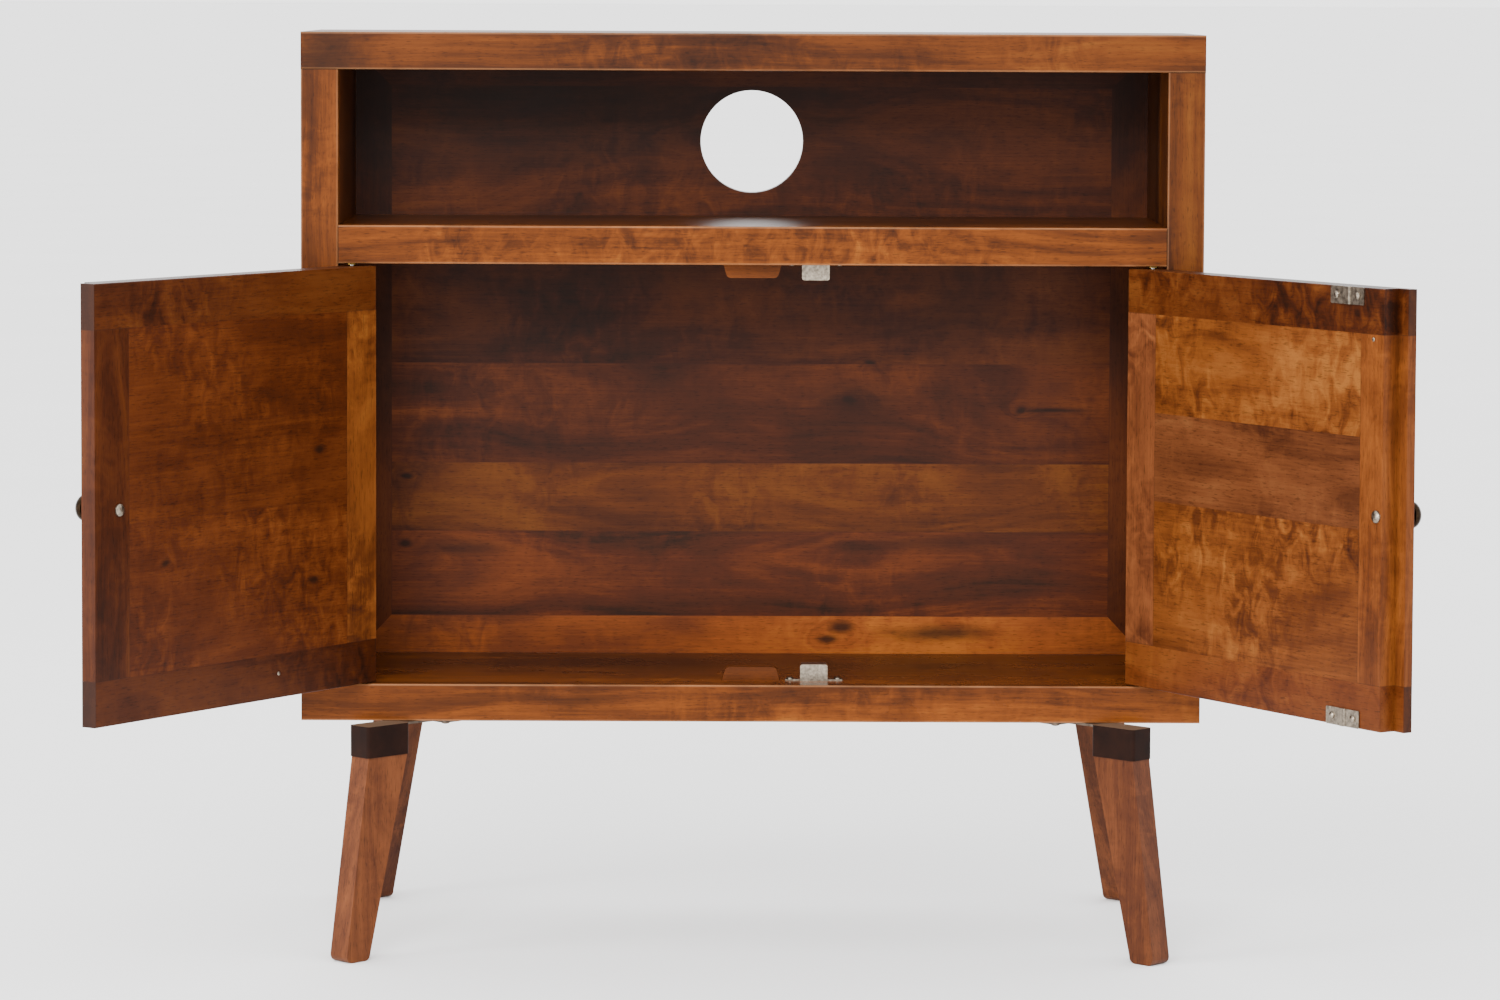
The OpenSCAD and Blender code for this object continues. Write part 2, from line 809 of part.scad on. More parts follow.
// Puts a leg's own frame at one corner: +X outwards along the diagonal, from the block's outer end
module at_leg(side, back) {
    translate([side * leg_x, back ? body_d + leg_out : -leg_out, 0])
        rotate([0, 0, side > 0 ? (back ? 45 : -45) : (back ? 135 : 225)])
            translate([leg_end, 0, 0]) children();
}

module at_legs() {
    for (side = [-1, 1], back = [false, true]) at_leg(side, back) children();
}

// Places its children at the four screws of a leg's pad, on the carcass's underside
module at_pad_screws() {
    for (i = [-1, 1], j = [-1, 1])
        translate([-pad_from_end + i * pad_screw_pitch / 2, j * pad_screw_pitch / 2, leg_h]) children();
}

// Side outline of a leg: straight inside the sleeve, then tapering out to the foot
module leg() {
    foot_lean = atan((foot_splay + sleeve_t) / sleeve_bottom);
    translate([0, leg_t / 2, 0]) rotate([90, 0, 0]) linear_extrude(leg_t) polygon(concat(
        [[-leg_block_l + sleeve_t, leg_h - sleeve_t], [-leg_block_l + sleeve_t, sleeve_bottom]],
        arc([foot_splay - foot_w + foot_r, foot_r], foot_r, 180, 270),
        arc([foot_splay - foot_r, foot_r], foot_r, 270, 360 + foot_lean),
        [[-sleeve_t, sleeve_bottom], [-sleeve_t, leg_h - sleeve_t]]));
}

// A steel cup over the leg's straight top
module leg_sleeve() {
    difference() {
        translate([-leg_block_l, -leg_block_t / 2, sleeve_bottom])
            linear_extrude(leg_straight_h) polygon(round_box(leg_block_l, leg_block_t, sleeve_r));
        translate([-leg_block_l + sleeve_t, -leg_t / 2, sleeve_bottom - 1])
            cube([leg_block_l - 2 * sleeve_t, leg_t, leg_straight_h - sleeve_t + 1]);
    }
}

// A steel plate from the sleeve's inner end to a square pad, both under the carcass
module leg_plate() {
    difference() {
        translate([0, 0, leg_h - plate_t]) union() {
            translate([-pad_from_end, -strap_w / 2, 0])
                cube([pad_from_end - leg_block_l, strap_w, plate_t]);
            translate([-pad_from_end - pad_w / 2, -pad_w / 2, 0])
                linear_extrude(plate_t) polygon(round_box(pad_w, pad_w, sleeve_r));
        }
        at_pad_screws() translate([0, 0, -plate_t - 1]) cylinder(d = plate_shank_d, h = plate_t + 2);
    }
}

module front_left_leg() {
    color(walnut) at_leg(-1, false) leg();
}

module front_right_leg() {
    color(walnut) at_leg(1, false) leg();
}

module back_left_leg() {
    color(walnut) at_leg(-1, true) leg();
}

module back_right_leg() {
    color(walnut) at_leg(1, true) leg();
}

module front_left_sleeve() {
    color(blackened) at_leg(-1, false) leg_sleeve();
}

module front_right_sleeve() {
    color(blackened) at_leg(1, false) leg_sleeve();
}

module back_left_sleeve() {
    color(blackened) at_leg(-1, true) leg_sleeve();
}

module back_right_sleeve() {
    color(blackened) at_leg(1, true) leg_sleeve();
}

module leg_plates() {
    color(zinc) at_legs() leg_plate();
}

module leg_plate_screws() {
    color(zinc) at_legs() at_pad_screws() translate([0, 0, -plate_t]) mirror([0, 0, 1])
        screw(plate_head_d, plate_head_h, plate_shank_d, plate_shank_l + plate_t);
}

top_board();
bottom_board();
left_side();
right_side();
shelf_board();
back_top_rail();
back_bottom_rail();
back_left_stile();
back_right_stile();
back_plank_1();
back_plank_2();
back_plank_3();
back_plank_4();
back_plank_5();
upper_door_stop();
lower_door_stop();
catch_cases();
catch_magnets();
catch_screws();
pivot_bushes();
left_top_rail();
left_bottom_rail();
left_hinge_stile();
left_free_stile();
left_plank_1();
left_plank_2();
left_plank_3();
right_top_rail();
right_bottom_rail();
right_hinge_stile();
right_free_stile();
right_plank_1();
right_plank_2();
right_plank_3();
left_pivot_pins();
right_pivot_pins();
left_knob();
right_knob();
left_knob_screw();
right_knob_screw();
left_panel_pin();
right_panel_pin();
strike_plates();
strike_screws();
front_left_leg();
front_right_leg();
back_left_leg();
back_right_leg();
front_left_sleeve();
front_right_sleeve();
back_left_sleeve();
back_right_sleeve();
leg_plates();
leg_plate_screws();
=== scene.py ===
# Looks, light and camera for a small TV stand in walnut-stained hardwood.
import json
import math

import bmesh
import bpy
from mathutils import Matrix, Vector

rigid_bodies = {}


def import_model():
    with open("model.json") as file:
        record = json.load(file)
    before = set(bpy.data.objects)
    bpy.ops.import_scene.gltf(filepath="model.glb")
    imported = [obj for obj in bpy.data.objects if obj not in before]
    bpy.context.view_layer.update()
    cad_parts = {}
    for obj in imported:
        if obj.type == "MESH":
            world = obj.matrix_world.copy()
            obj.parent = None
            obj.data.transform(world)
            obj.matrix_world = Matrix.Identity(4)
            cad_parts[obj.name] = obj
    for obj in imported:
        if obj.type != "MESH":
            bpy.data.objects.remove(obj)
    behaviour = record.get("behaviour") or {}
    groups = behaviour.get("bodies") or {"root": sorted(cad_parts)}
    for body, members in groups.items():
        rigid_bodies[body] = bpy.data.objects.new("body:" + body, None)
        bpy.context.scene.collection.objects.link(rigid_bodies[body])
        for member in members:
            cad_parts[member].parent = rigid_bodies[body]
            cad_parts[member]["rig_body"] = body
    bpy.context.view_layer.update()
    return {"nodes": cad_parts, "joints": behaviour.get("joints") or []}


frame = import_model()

NODES = frame["nodes"]
MM = 0.001


# ---------------------------------------------------------------- helpers

def hex_colour(code):
    """An sRGB hex colour as linear RGBA."""
    parts = [int(code[i:i + 2], 16) / 255 for i in (1, 3, 5)]
    linear = [c / 12.92 if c <= 0.04045 else ((c + 0.055) / 1.055) ** 2.4 for c in parts]
    return (*linear, 1.0)


def add(tree, kind, inputs=None, **settings):
    """Adds a node with its settings, and sets or links its inputs."""
    node = tree.nodes.new(kind)
    for key, value in settings.items():
        setattr(node, key, value)
    for key, value in (inputs or {}).items():
        socket = node.inputs[key]
        if isinstance(value, bpy.types.NodeSocket):
            tree.links.new(value, socket)
        else:
            socket.default_value = value
    return node


def set_stops(ramp, stops):
    """Gives a colour ramp its (position, colour) stops, dark end first."""
    elements = ramp.color_ramp.elements
    while len(elements) < len(stops):
        elements.new(1.0)
    for element, (position, colour) in zip(elements, stops):
        element.position = position
        element.color = colour
    return ramp.outputs["Color"]


def grey(value):
    """A linear grey for ramps that carry a factor."""
    return (value, value, value, 1.0)


def new_material(name):
    """An empty material with its shader and output, ready for inputs."""
    material = bpy.data.materials.new(name)
    material.use_nodes = True
    tree = material.node_tree
    tree.nodes.clear()
    shader = add(tree, "ShaderNodeBsdfPrincipled")
    add(tree, "ShaderNodeOutputMaterial", {"Surface": shader.outputs["BSDF"]})
    return material, tree, shader


def dress(node, material):
    """Puts one material on a whole CAD node."""
    mesh = NODES[node].data
    mesh.materials.clear()
    mesh.materials.append(material)


# ---------------------------------------------------------------- boards in their own frames

def closing_turn(node):
    """Pivot and turn about Z, in radians, that close the door a node belongs to."""
    body = NODES[node]["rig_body"]
    for joint in frame["joints"]:
        if joint["child"] == body:
            degrees = joint["axis"][2] * joint["range_deg"][0]
            return Vector(joint["pos_m"]), math.radians(degrees)
    return Vector((0, 0, 0)), 0.0


def board_place(node):
    """Centre of a board as it stands, its half sizes when squared up, and its closing turn."""
    turn = closing_turn(node)[1]
    spin = Matrix.Rotation(turn, 3, "Z")
    points = [spin @ v.co for v in NODES[node].data.vertices]
    low = Vector([min(p[i] for p in points) for i in range(3)])
    high = Vector([max(p[i] for p in points) for i in range(3)])
    return spin.inverted() @ ((low + high) / 2), (high - low) / 2, turn


# The board axes that run along the grain, across the face and through the thickness
GRAIN_AXES = {
    "flat along x": "XYZ",
    "upright along x": "XZY",
    "upright along z": "ZXY",
    "side along z": "ZYX",
}


def board_space(tree, node, grain):
    """Metres from the board's centre: X along the grain, Y across, Z through. Also the half sizes."""
    centre, half, turn = board_place(node)
    place = add(tree, "ShaderNodeTexCoord").outputs["Object"]
    squared = add(tree, "ShaderNodeMapping", {
        "Vector": place, "Location": centre, "Rotation": (0, 0, -turn)}, vector_type="TEXTURE")
    parts = add(tree, "ShaderNodeSeparateXYZ", {"Vector": squared.outputs["Vector"]})
    axes = GRAIN_AXES[grain]
    ordered = add(tree, "ShaderNodeCombineXYZ", {
        i: parts.outputs[axis] for i, axis in enumerate(axes)})
    return ordered.outputs["Vector"], [half["XYZ".index(axis)] for axis in axes]


# ---------------------------------------------------------------- stained hardwood

# Stain tones from the darkest streak to the palest fibre, and where on the tone scale each lies
HEARTWOOD = ("#230E05", "#3E1B08", "#582A0C", "#713E12")
RUSSET = ("#220D03", "#452007", "#64320C", "#7F4815")
HONEY = ("#2E140A", "#4E260D", "#693815", "#814E22")
AMBER = ("#2E140D", "#4E2814", "#693A1E", "#81502C")
UMBER = ("#1C0C04", "#331406", "#482009", "#5C2E10")
CHESTNUT = ("#200C04", "#391706", "#4D240B", "#5F3313")
TONE_STOPS = (0.12, 0.40, 0.62, 0.92)

# Colours where the stain gathers or has gone; the dark one also paints shade inside the case, and the
# pale one a highlight on the arrises
KNOT_STAIN_AND_PAINTED_SHADE = "#150904"
SOAKED_END_GRAIN = "#1E100A"
RUBBED_THROUGH_AND_HIGHLIGHT = "#B48058"

# Waves of each pattern in a metre: along the grain, across the board and through it
SWAY = (3.2, 9, 9)
RAGGED_RIM = (22, 60, 60)
# Blotches where the stain took unevenly, about 80 mm across
BLOTCHES = (8, 14, 14)
# Curl: ripples across the grain, 16 mm from crest to crest, in patches about 100 mm wide
CURL = (62, 40, 40)
CURLY_PATCHES = (9, 9, 9)
# Fibres 2 mm apart, drawn coarser than the real 0.2 mm so that they show
FIBRES = (13, 520, 520)
# Pores: dark dashes about 5 mm long and 0.6 mm wide
PORES = (140, 1000, 1000)

# Waves in a metre along the trunk and outwards from its heart
# Bands of heartwood and sapwood some 40 mm wide
BANDS = (1.6, 26, 1)
# Growth rings 6 mm apart, broken by noise so that none is an even stripe
RINGS = (5, 165, 1)


def grain_pattern(tree, space, waves, detail, roughness=0.5, distortion=0.0):
    """Noise stretched along the grain, with the given waves to the metre on each axis."""
    stretched = add(tree, "ShaderNodeVectorMath", {0: space, 1: waves}, operation="MULTIPLY")
    return add(tree, "ShaderNodeTexNoise", {
        "Vector": stretched.outputs["Vector"], "Scale": 1.0, "Detail": detail,
        "Roughness": roughness, "Distortion": distortion})


def wandering(tree, noise):
    """Noise as an offset that strays either way from nothing."""
    return add(tree, "ShaderNodeVectorMath", {0: noise.outputs["Color"], 1: (0.5, 0.5, 0.5)},
               operation="SUBTRACT").outputs["Vector"]


def fading(tree, value, near, far, top):
    """Falls smoothly from top where the value is near to nothing where it is far."""
    return add(tree, "ShaderNodeMapRange", {
        "Value": value, "From Min": near, "From Max": far, "To Min": top, "To Max": 0},
        interpolation_type="SMOOTHSTEP").outputs["Result"]


def strongest(tree, factors):
    """The largest of several factors at each point."""
    result = factors[0]
    for factor in factors[1:]:
        result = add(tree, "ShaderNodeMath", {0: result, 1: factor}, operation="MAXIMUM").outputs["Value"]
    return result


def ring_radius(tree, board, shifted, heart):
    """How far each point lies from the tree's heart, in metres."""
    # The trunk's slow sway moves the rings by up to about 14 mm along a board
    sway = wandering(tree, grain_pattern(tree, shifted, SWAY, 2.0, roughness=0.45))
    sway = add(tree, "ShaderNodeVectorMath", {0: sway, 1: (0, 0.055, 0.055)},
               operation="MULTIPLY").outputs["Vector"]
    from_heart = add(tree, "ShaderNodeVectorMath", {0: board, 1: (0, heart[0], heart[1])},
                     operation="SUBTRACT").outputs["Vector"]
    from_heart = add(tree, "ShaderNodeVectorMath", {0: from_heart, 1: sway},
                     operation="ADD").outputs["Vector"]
    flat = add(tree, "ShaderNodeVectorMath", {0: from_heart, 1: (0, 1, 1)},
               operation="MULTIPLY").outputs["Vector"]
    return add(tree, "ShaderNodeVectorMath", {0: flat}, operation="LENGTH").outputs["Value"]


def oval_reach(tree, board, ragged, oval, rag):
    """How far a point is from an oval's middle, where one is the oval's ragged rim."""
    along, across, length, width = oval
    away = add(tree, "ShaderNodeVectorMath", {0: board, 1: (along, across, 0)},
               operation="SUBTRACT").outputs["Vector"]
    away = add(tree, "ShaderNodeVectorMath", {0: away, 1: (1 / length, 1 / width, 0)},
               operation="MULTIPLY").outputs["Vector"]
    away = add(tree, "ShaderNodeVectorMath", {0: ragged, 1: (rag, rag, 0), 2: away},
               operation="MULTIPLY_ADD").outputs["Vector"]
    return add(tree, "ShaderNodeVectorMath", {0: away}, operation="LENGTH").outputs["Value"]


def knots_stains_and_painted_shade(tree, board, shifted, radius, knots, stains_and_painted_shade):
    """The ring radius with the rings bent round each knot, and how dark each point is from knots, real
    stain and painted shade.
    """
    ragged = wandering(tree, grain_pattern(tree, shifted, RAGGED_RIM, 4.0, roughness=0.65))
    darkness = []
    for along, across, size in knots:
        reach = oval_reach(tree, board, ragged, (along, across, size * 1.9, size), 1.3)
        radius = add(tree, "ShaderNodeMath", {0: radius, 1: fading(tree, reach, 0, 3, size * 1.4)},
                     operation="ADD").outputs["Value"]
        darkness.append(fading(tree, reach, 0.2, 1.1, 0.85))
    # Dark ovals: a real stain on some boards, painted shade inside the case on others
    for along, across, length, width, strength in stains_and_painted_shade:
        reach = oval_reach(tree, board, ragged, (along, across, length, width), 1.0)
        darkness.append(fading(tree, reach, 0.1, 1.2, strength))
    return radius, darkness


def weighed(tree, total, noise, weight):
    """Adds a noise to a running total, centred on nothing."""
    centred = add(tree, "ShaderNodeMath", {0: noise.outputs["Fac"], 1: 0.5},
                  operation="SUBTRACT").outputs["Value"]
    return add(tree, "ShaderNodeMath", {0: centred, 1: weight, 2: total},
               operation="MULTIPLY_ADD").outputs["Value"]


def soaked_edges(tree, parts, half, joint):
    """End grain, which drinks more stain, and the hairline of it in a joint along the board."""
    lines = []
    for axis, size, strength in (("X", half[0], 0.62), ("Y", half[1], joint)):
        out = add(tree, "ShaderNodeMath", {0: parts.outputs[axis]}, operation="ABSOLUTE")
        lines.append(add(tree, "ShaderNodeMapRange", {
            "Value": out.outputs["Value"], "From Min": size - 0.7 * MM, "From Max": size - 0.1 * MM,
            "To Min": 0, "To Max": strength}).outputs["Result"])
    return strongest(tree, lines)


def rubbed_and_highlit_arrises(tree, parts, half, blotches, wear_and_highlight):
    """A pale line about 1.5 mm wide on the long arrises, which comes and goes along the board: stain
    rubbed through, with a painted highlight.
    """
    inward = []
    for axis, size in (("Y", half[1]), ("Z", half[2])):
        out = add(tree, "ShaderNodeMath", {0: parts.outputs[axis]}, operation="ABSOLUTE")
        depth = add(tree, "ShaderNodeMath", {0: size, 1: out.outputs["Value"]}, operation="SUBTRACT")
        inward.append(depth.outputs["Value"])
    line = fading(tree, strongest(tree, inward), 0.5 * MM, 2.0 * MM, 1.0)
    patchy = add(tree, "ShaderNodeMapRange", {
        "Value": blotches.outputs["Fac"], "From Min": 0.35, "From Max": 0.55,
        "To Min": 0.3 * wear_and_highlight, "To Max": wear_and_highlight})
    rubbed = add(tree, "ShaderNodeMath", {0: line, 1: patchy.outputs["Result"]}, operation="MULTIPLY")
    return rubbed.outputs["Value"]


def stained_hardwood(node, grain, tones, seed, heart=(0.0, 0.07), streaks=1.0, figure=0.25,
                     knots=(), stains_and_painted_shade=(), joint=0.0, wear_and_highlight=0.0, gloss=0.34, shade=1.0):
    """Sawn and sanded tropical hardwood under a walnut stain and satin lacquer.

    The growth rings are cylinders round the tree's heart, so a board cut past the heart shows
    arched stripes on its face, straight ones on its edges and arcs on its ends. The stain sinks
    into the open pores as short dark dashes. heart is where the heart runs, in metres across
    and through from the board's middle. streaks is how bold the bands and rings are, and figure
    how strong the curl is. Each knot is (along, across, radius) in metres, and each dark oval in
    stains is (along, across, half length, half width, strength); some ovals are a real stain and
    others painted shade inside the case. joint is how dark the hairline is where the board's long
    edges meet its neighbours. worn is how strong the pale line on the long arrises is: stain
    rubbed off them, with a painted highlight. shade makes the whole board paler or darker; on
    the back it also paints the shade that falls inside the bays.
    """
    material, tree, shader = new_material("walnut_stained_hardwood_" + node)
    board, half = board_space(tree, node, grain)
    shifted = add(tree, "ShaderNodeVectorMath", {0: board, 1: (seed * 1.37, seed * 0.61, seed * 0.23)},
                  operation="ADD").outputs["Vector"]
    radius = ring_radius(tree, board, shifted, heart)
    radius, darkness = knots_stains_and_painted_shade(tree, board, shifted, radius, knots, stains_and_painted_shade)

    # Position in the tree: along the trunk and out from its heart
    length = add(tree, "ShaderNodeSeparateXYZ", {"Vector": shifted}).outputs["X"]
    growth = add(tree, "ShaderNodeCombineXYZ", {"X": length, "Y": radius, "Z": seed * 3.1})
    growth = growth.outputs["Vector"]

    bands = grain_pattern(tree, growth, BANDS, 3.0, roughness=0.55)
    rings = grain_pattern(tree, growth, RINGS, 5.0, roughness=0.62)
    blotches = grain_pattern(tree, shifted, BLOTCHES, 4.0, roughness=0.62, distortion=0.4)
    curl = grain_pattern(tree, shifted, CURL, 4.0, roughness=0.6, distortion=0.9)
    curly = add(tree, "ShaderNodeMapRange", {
        "Value": grain_pattern(tree, shifted, CURLY_PATCHES, 1.0).outputs["Fac"],
        "From Min": 0.40, "From Max": 0.62,
        "To Min": 0.15 * figure, "To Max": 2.0 * figure}).outputs["Result"]
    fibres = grain_pattern(tree, shifted, FIBRES, 3.0, roughness=0.65)
    pores = grain_pattern(tree, shifted, PORES, 1.0)

    tone = weighed(tree, 0.5, bands, 1.25 * streaks)
    tone = weighed(tree, tone, rings, 0.75 * streaks)
    tone = weighed(tree, tone, blotches, 0.55)
    tone = weighed(tree, tone, curl, curly)
    tone = weighed(tree, tone, fibres, 0.30)
    shaded = [(*(shade * c for c in hex_colour(code)[:3]), 1.0) for code in tones]
    ramp = add(tree, "ShaderNodeValToRGB", {"Fac": tone})
    colour = set_stops(ramp, list(zip(TONE_STOPS, shaded)))

    pore_ramp = add(tree, "ShaderNodeValToRGB", {"Fac": pores.outputs["Fac"]})
    pore = set_stops(pore_ramp, [(0.28, grey(0.45)), (0.42, grey(1.0))])
    colour = add(tree, "ShaderNodeMix", {0: 0.75, 6: colour, 7: pore},
                 data_type="RGBA", blend_type="MULTIPLY").outputs[2]
    parts = add(tree, "ShaderNodeSeparateXYZ", {"Vector": board})
    overlays = [(soaked_edges(tree, parts, half, joint), SOAKED_END_GRAIN)]
    # Knots, real stain and painted shade inside the case, all in one dark colour
    if darkness:
        overlays.insert(0, (strongest(tree, darkness), KNOT_STAIN_AND_PAINTED_SHADE))
    # The pale arris line: stain rubbed through, with a painted highlight
    if wear_and_highlight:
        overlays.append((rubbed_and_highlit_arrises(tree, parts, half, blotches, wear_and_highlight), RUBBED_THROUGH_AND_HIGHLIGHT))
    for factor, code in overlays:
        colour = add(tree, "ShaderNodeMix", {0: factor, 6: colour, 7: hex_colour(code)},
                     data_type="RGBA").outputs[2]

    sheen = add(tree, "ShaderNodeMapRange", {
        "Value": blotches.outputs["Fac"], "To Min": gloss - 0.06, "To Max": gloss + 0.10})
    relief = add(tree, "ShaderNodeMath", {0: pores.outputs["Fac"], 1: fibres.outputs["Fac"]},
                 operation="ADD")
    bump = add(tree, "ShaderNodeBump", {
        "Strength": 0.18, "Distance": 0.1 * MM, "Height": relief.outputs["Value"]})
    tree.links.new(colour, shader.inputs["Base Color"])
    tree.links.new(sheen.outputs["Result"], shader.inputs["Roughness"])
    tree.links.new(bump.outputs["Normal"], shader.inputs["Normal"])
    shader.inputs["IOR"].default_value = 1.5
    shader.inputs["Specular IOR Level"].default_value = 0.08
    dress(node, material)


def finish_carcass():
    """The case, whose boards were picked for bold streaks."""
    stained_hardwood("top_board", "flat along x", RUSSET, 1.3, heart=(-0.05, 0.09), figure=0.5,
                     streaks=0.8, shade=0.65, wear_and_highlight=0.25, stains_and_painted_shade=((-0.350, -0.115, 0.045, 0.04, 0.7),))
    # Its dark oval is painted shade on the lower compartment's floor, back from the front edge
    stained_hardwood("bottom_board", "flat along x", RUSSET, 2.6, heart=(-0.16, 0.05), figure=0.4,
                     streaks=0.8, wear_and_highlight=0.35, gloss=0.26, shade=0.98,
                     stains_and_painted_shade=((0, 0.02, 0.42, 0.1, 0.8),))
    # The dark oval on each side is painted shade inside the upper part of the case
    stained_hardwood("left_side", "side along z", RUSSET, 3.1, heart=(-0.14, 0.06), figure=0.45,
                     streaks=0.8, shade=0.78, wear_and_highlight=0.2, stains_and_painted_shade=((0.2, 0.04, 0.14, 0.12, 0.5),))
    stained_hardwood("right_side", "side along z", RUSSET, 4.7, heart=(-0.13, 0.07), figure=0.45,
                     streaks=0.8, shade=0.5, wear_and_highlight=0.2, stains_and_painted_shade=((0.2, 0.04, 0.14, 0.12, 0.5),))
    # Its dark oval is painted shade on the upper bay's floor and on the shelf's underside
    stained_hardwood("shelf_board", "flat along x", RUSSET, 5.2, heart=(-0.14, -0.05), figure=0.6,
                     streaks=0.7, wear_and_highlight=0.3, gloss=0.28, shade=0.88,
                     stains_and_painted_shade=((0, 0.02, 0.42, 0.1, 0.5),))
    for i, node in enumerate(("upper_door_stop", "lower_door_stop")):
        stained_hardwood(node, "upright along x", RUSSET, 6.1 + i, streaks=0.6)


def finish_back():
    """The framed back: darker than the case, partly from painted shade inside the bays, with knots in its
    planks.
    """
    # The shade values on the back run from dark at the top rail to pale at the bottom rail: painted shade
    # from the top board and the shelf, over the wood's own tone
    stained_hardwood("back_top_rail", "upright along x", UMBER, 7.7, joint=0.3, shade=0.6)
    stained_hardwood("back_bottom_rail", "upright along x", HEARTWOOD, 8.3, joint=0.3, shade=1.9,
                     knots=((0.080, 0.007, 0.008), (0.068, -0.004, 0.006)),
                     stains_and_painted_shade=((0.165, 0.002, 0.06, 0.010, 0.8),))
    # The dark ovals on the stiles are painted shade: the higher one in the upper bay under the top board,
    # the other just under the shelf
    stained_hardwood("back_left_stile", "upright along z", UMBER, 9.9, streaks=0.6, shade=0.8,
                     stains_and_painted_shade=((0.24, 0, 0.15, 0.1, 0.75), (0.0, 0, 0.1, 0.1, 0.6)))
    stained_hardwood("back_right_stile", "upright along z", UMBER, 10.4, streaks=0.6, shade=0.8,
                     stains_and_painted_shade=((0.25, 0, 0.1, 0.1, 0.6), (0.02, 0, 0.07, 0.1, 0.5)))
    # The shade values step the planks darker towards the shelf, in part painted shade cast by it; the
    # long dark oval on plank 4 is painted shade under the shelf, and the one on plank 5 painted shade
    # under the top board
    planks = (
        ("back_plank_1", UMBER, 1.6, 11.5, ((-0.30, 0.026, 0.005),),
         ((-0.25, 0.022, 0.05, 0.010, 0.5), (0.15, 0.027, 0.12, 0.009, 0.45))),
        ("back_plank_2", HEARTWOOD, 0.72, 12.2, ((-0.30, 0.018, 0.004),), ()),
        ("back_plank_3", UMBER, 1.08, 13.4, ((0.235, 0.004, 0.004), (0.086, 0.012, 0.006)),
         ((0.262, 0.004, 0.045, 0.003, 0.85), (0.09, 0.010, 0.05, 0.022, 0.45))),
        ("back_plank_4", UMBER, 0.8, 14.8, ((0.104, -0.054, 0.004),),
         ((-0.05, 0.05, 0.36, 0.05, 0.5), (0.19, 0.02, 0.05, 0.07, 0.35))),
        ("back_plank_5", UMBER, 1.0, 15.6, (), ((-0.12, 0.07, 0.34, 0.075, 0.8),)),
    )
    for node, tones, shade, seed, knots, stains_and_painted_shade in planks:
        stained_hardwood(node, "upright along x", tones, seed, heart=(0.01, 0.06), figure=0.35,
                         knots=knots, stains_and_painted_shade=stains_and_painted_shade, joint=0.2, shade=shade)


def finish_left_door():
    """The left door: brown planks between a golden hinge stile and a dark free stile."""
    stained_hardwood("left_top_rail", "upright along x", CHESTNUT, 21.1, figure=0.6, shade=0.65)
    stained_hardwood("left_bottom_rail", "upright along x", CHESTNUT, 22.4, figure=0.6, shade=0.65)
    stained_hardwood("left_hinge_stile", "upright along z", HONEY, 23.2, streaks=0.8, figure=0.5,
                     shade=0.76)
    stained_hardwood("left_free_stile", "upright along z", CHESTNUT, 24.9, heart=(0.0, 0.03),
                     shade=0.66)
    stained_hardwood("left_plank_1", "upright along x", CHESTNUT, 25.3, figure=0.5, joint=0.1,
                     streaks=0.6, shade=0.95, knots=((0.092, 0.026, 0.004), (-0.092, -0.004, 0.005)))
    stained_hardwood("left_plank_2", "upright along x", CHESTNUT, 26.7, figure=0.3, joint=0.1,
                     streaks=0.6, shade=0.9, knots=((-0.10, 0.006, 0.005),))
    stained_hardwood("left_plank_3", "upright along x", CHESTNUT, 27.5, figure=0.4, joint=0.1,
                     streaks=0.5, shade=0.95)


def finish_right_door():
    """The right door: curly golden planks round a dark middle one."""
    stained_hardwood("right_top_rail", "upright along x", CHESTNUT, 31.8, figure=0.9, shade=0.72)
    stained_hardwood("right_bottom_rail", "upright along x", CHESTNUT, 32.3, figure=0.5, shade=1.0)
    stained_hardwood("right_hinge_stile", "upright along z", AMBER, 33.6, streaks=0.8, figure=0.6,
                     shade=0.8)
    stained_hardwood("right_free_stile", "upright along z", HONEY, 34.4, heart=(0.0, 0.03),
                     shade=0.94)
    stained_hardwood("right_plank_1", "upright along x", HONEY, 35.9, figure=0.75, streaks=0.6,
                     joint=0.1, shade=0.74)
    stained_hardwood("right_plank_2", "upright along x", AMBER, 36.2, figure=0.4, streaks=0.8,
                     joint=0.1, shade=0.55)
    stained_hardwood("right_plank_3", "upright along x", HONEY, 37.1, figure=0.7, streaks=1.1,
                     joint=0.1, shade=0.72)


def finish_legs():
    """The legs, cut from plain brown stock with the grain running down them."""
    for i, node in enumerate(("front_left_leg", "front_right_leg", "back_left_leg", "back_right_leg")):
        stained_hardwood(node, "upright along z", AMBER, 41.0 + 1.7 * i, streaks=0.7, figure=0.4,
                         shade=0.8)


# ---------------------------------------------------------------- metals

def plated_metal(name, tones, roughness, grain_mm, dent=0.02):
    """Metal with a plated or rubbed finish: tone and roughness drift a little over the piece.

    grain_mm is how far apart the drifts are, and dent how deep the surface dips, also in mm.
    """
    material, tree, shader = new_material(name)
    place = add(tree, "ShaderNodeTexCoord").outputs["Object"]
    cloud = add(tree, "ShaderNodeTexNoise", {
        "Vector": place, "Scale": 1 / (grain_mm * MM), "Detail": 4.0, "Roughness": 0.6})
    ramp = add(tree, "ShaderNodeValToRGB", {"Fac": cloud.outputs["Fac"]})
    colour = set_stops(ramp, [(0.32, hex_colour(tones[0])), (0.68, hex_colour(tones[1]))])
    drift = add(tree, "ShaderNodeMapRange", {
        "Value": cloud.outputs["Fac"], "To Min": roughness - 0.08, "To Max": roughness + 0.12})
    bump = add(tree, "ShaderNodeBump", {
        "Strength": 0.3, "Distance": dent * MM, "Height": cloud.outputs["Fac"]})
    tree.links.new(colour, shader.inputs["Base Color"])
    tree.links.new(drift.outputs["Result"], shader.inputs["Roughness"])
    tree.links.new(bump.outputs["Normal"], shader.inputs["Normal"])
    shader.inputs["Metallic"].default_value = 1.0
    return material


